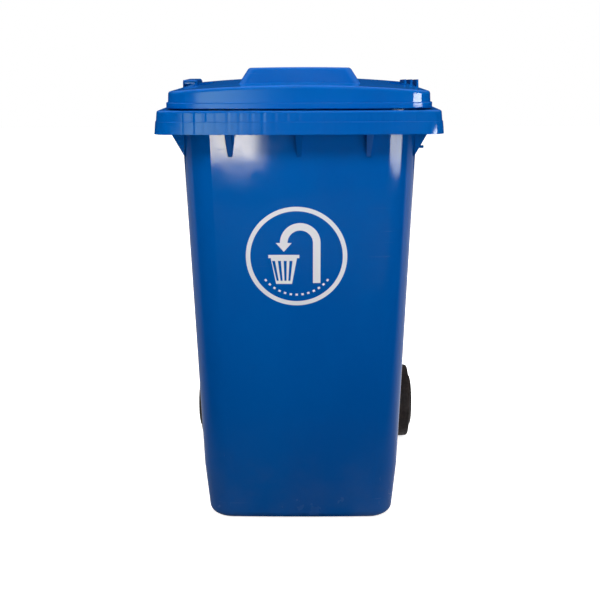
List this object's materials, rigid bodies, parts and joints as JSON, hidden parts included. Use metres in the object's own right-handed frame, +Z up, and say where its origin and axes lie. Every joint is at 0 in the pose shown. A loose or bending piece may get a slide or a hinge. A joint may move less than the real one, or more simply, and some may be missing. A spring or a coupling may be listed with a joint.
{
  "type": "two-wheeled refuse bin",
  "caption": "Tall tapered refuse bin with a comb lifting rim, a hinged lid with a raised hump, a rear handle bar and wheels on a loose steel axle.",
  "frame": {"origin": "on the ground, under the middle of the tub's plan and rim", "axes": "+X to the bin's right seen from the front, +Y to the handle, +Z up"},
  "size_m": [0.596, 0.7369, 1.0169],
  "materials": {
    "body_plastic": "satin, blue HDPE",
    "lid_plastic": "satin, blue HDPE",
    "pin_plastic": "satin",
    "white_ink": "printed",
    "zinc_steel": "zinc plated",
    "spring_steel": "drawn wire",
    "tyre_rubber": "matte",
    "hub_plastic": "satin black",
    "bush_nylon": "natural nylon"
  },
  "bodies": {
    "bin": {"tub": "body_plastic", "comb_rim": "body_plastic", "left_side_rim": "body_plastic", "right_side_rim": "body_plastic", "rear_rim": "body_plastic", "left_bracket": "body_plastic", "right_bracket": "body_plastic", "handle": "body_plastic", "left_axle_carrier": "body_plastic", "right_axle_carrier": "body_plastic", "front_print": "white_ink", "left_hinge_pin": "pin_plastic", "right_hinge_pin": "pin_plastic"},
    "lid": {"lid": "lid_plastic"},
    "axle": {"axle": "zinc_steel", "left_axle_washer": "zinc_steel", "right_axle_washer": "zinc_steel"},
    "left_wheel": {"left_tyre": "tyre_rubber", "left_wheel_hub": "hub_plastic", "left_wheel_bush": "bush_nylon", "left_hub_cap": "hub_plastic", "left_wheel_lock_spring": "spring_steel"},
    "left_lock": {"left_wheel_lock_pin": "zinc_steel"},
    "right_wheel": {"right_tyre": "tyre_rubber", "right_wheel_hub": "hub_plastic", "right_wheel_bush": "bush_nylon", "right_hub_cap": "hub_plastic", "right_wheel_lock_spring": "spring_steel"},
    "right_lock": {"right_wheel_lock_pin": "zinc_steel"}
  },
  "joints": [
    {"name": "lid_hinge", "type": "hinge", "parent": "bin", "child": "lid", "pos_m": [0, 0.348, 0.934], "axis": [-1, 0, 0], "range_deg": [0, 267]},
    {"name": "axle_turn", "type": "hinge", "parent": "bin", "child": "axle", "pos_m": [0, 0.272, 0.1], "axis": [1, 0, 0], "continuous": true},
    {"name": "left_wheel_spin", "type": "hinge", "parent": "axle", "child": "left_wheel", "pos_m": [0, 0.272, 0.1], "axis": [1, 0, 0], "continuous": true},
    {"name": "left_lock_slide", "type": "slide", "parent": "left_wheel", "child": "left_lock", "axis": [0, 0, 1], "range_m": [0, 0.0024], "stiffness_N_per_m": 300, "springref_m": -0.006, "deforming": ["left_wheel_lock_spring"]},
    {"name": "right_wheel_spin", "type": "hinge", "parent": "axle", "child": "right_wheel", "pos_m": [0, 0.272, 0.1], "axis": [1, 0, 0], "continuous": true},
    {"name": "right_lock_slide", "type": "slide", "parent": "right_wheel", "child": "right_lock", "axis": [0, 0, 1], "range_m": [0, 0.0024], "stiffness_N_per_m": 300, "springref_m": -0.006, "deforming": ["right_wheel_lock_spring"]}
  ]
}
